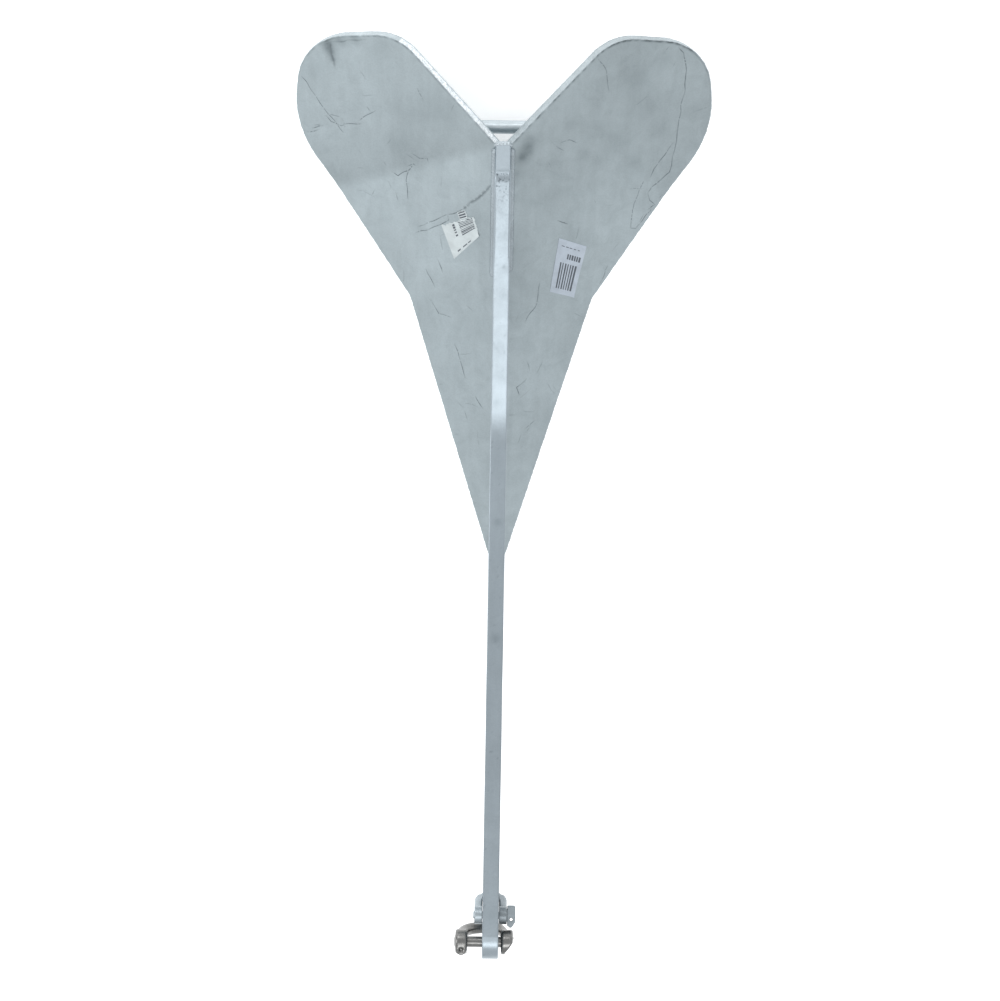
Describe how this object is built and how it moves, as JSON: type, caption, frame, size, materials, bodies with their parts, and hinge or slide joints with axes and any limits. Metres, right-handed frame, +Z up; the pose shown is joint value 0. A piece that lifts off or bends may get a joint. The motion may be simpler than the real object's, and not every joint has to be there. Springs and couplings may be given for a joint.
{
  "type": "plough anchor",
  "caption": "Rigid galvanised plough anchor: ridged twin-plate fluke, long flat-bar shank rising over the tip, brace rod and two swinging shackles.",
  "frame": {"origin": "on the ground under the middle of the anchor's box, with the anchor standing on its two lobes and its tip", "axes": "+Y towards the rear of the fluke, -Y towards the shackles, +X to the right seen from above with the rear of the fluke away from the viewer, +Z up"},
  "size_m": [0.308, 0.656, 0.2513],
  "materials": {
    "galvanised_plate": "dull mottled zinc, scuffed",
    "galvanised_bar": "satin zinc",
    "galvanised_weld": "rippled weld under zinc",
    "stainless": "dull polished stainless",
    "galvanised_shackle": "smooth zinc",
    "label": "matt blank sticker"
  },
  "bodies": {
    "anchor": {"left_fluke_plate": "galvanised_plate", "right_fluke_plate": "galvanised_plate", "shank": "galvanised_bar", "ridge_weld": "galvanised_weld", "inner_ridge_weld": "galvanised_weld", "shank_weld_left": "galvanised_weld", "shank_weld_right": "galvanised_weld", "shank_rear_weld": "galvanised_weld", "brace_rod": "galvanised_bar", "brace_weld_left": "galvanised_weld", "brace_weld_right": "galvanised_weld", "tip_ballast": "galvanised_plate", "label_left": "label", "label_right": "label"},
    "end_shackle": {"end_shackle_bow": "stainless"},
    "end_pin": {"end_shackle_pin": "stainless"},
    "rear_shackle": {"rear_shackle_bow": "galvanised_shackle"},
    "rear_pin": {"rear_shackle_pin": "galvanised_shackle"}
  },
  "joints": [
    {"name": "end_shackle_swing", "type": "hinge", "parent": "anchor", "child": "end_shackle", "pos_m": [0, -0.31355, 0.23433], "axis": [1, 0, 0], "range_deg": [-225, 14]},
    {"name": "end_pin_draw", "type": "slide", "parent": "end_shackle", "child": "end_pin", "axis": [-1, 0, 0], "range_m": [0, 0.044]},
    {"name": "rear_shackle_swing", "type": "hinge", "parent": "anchor", "child": "rear_shackle", "pos_m": [0, -0.29503, 0.22677], "axis": [1, 0, 0], "range_deg": [-16, 10]},
    {"name": "rear_pin_draw", "type": "slide", "parent": "rear_shackle", "child": "rear_pin", "axis": [1, 0, 0], "range_m": [0, 0.026]}
  ]
}
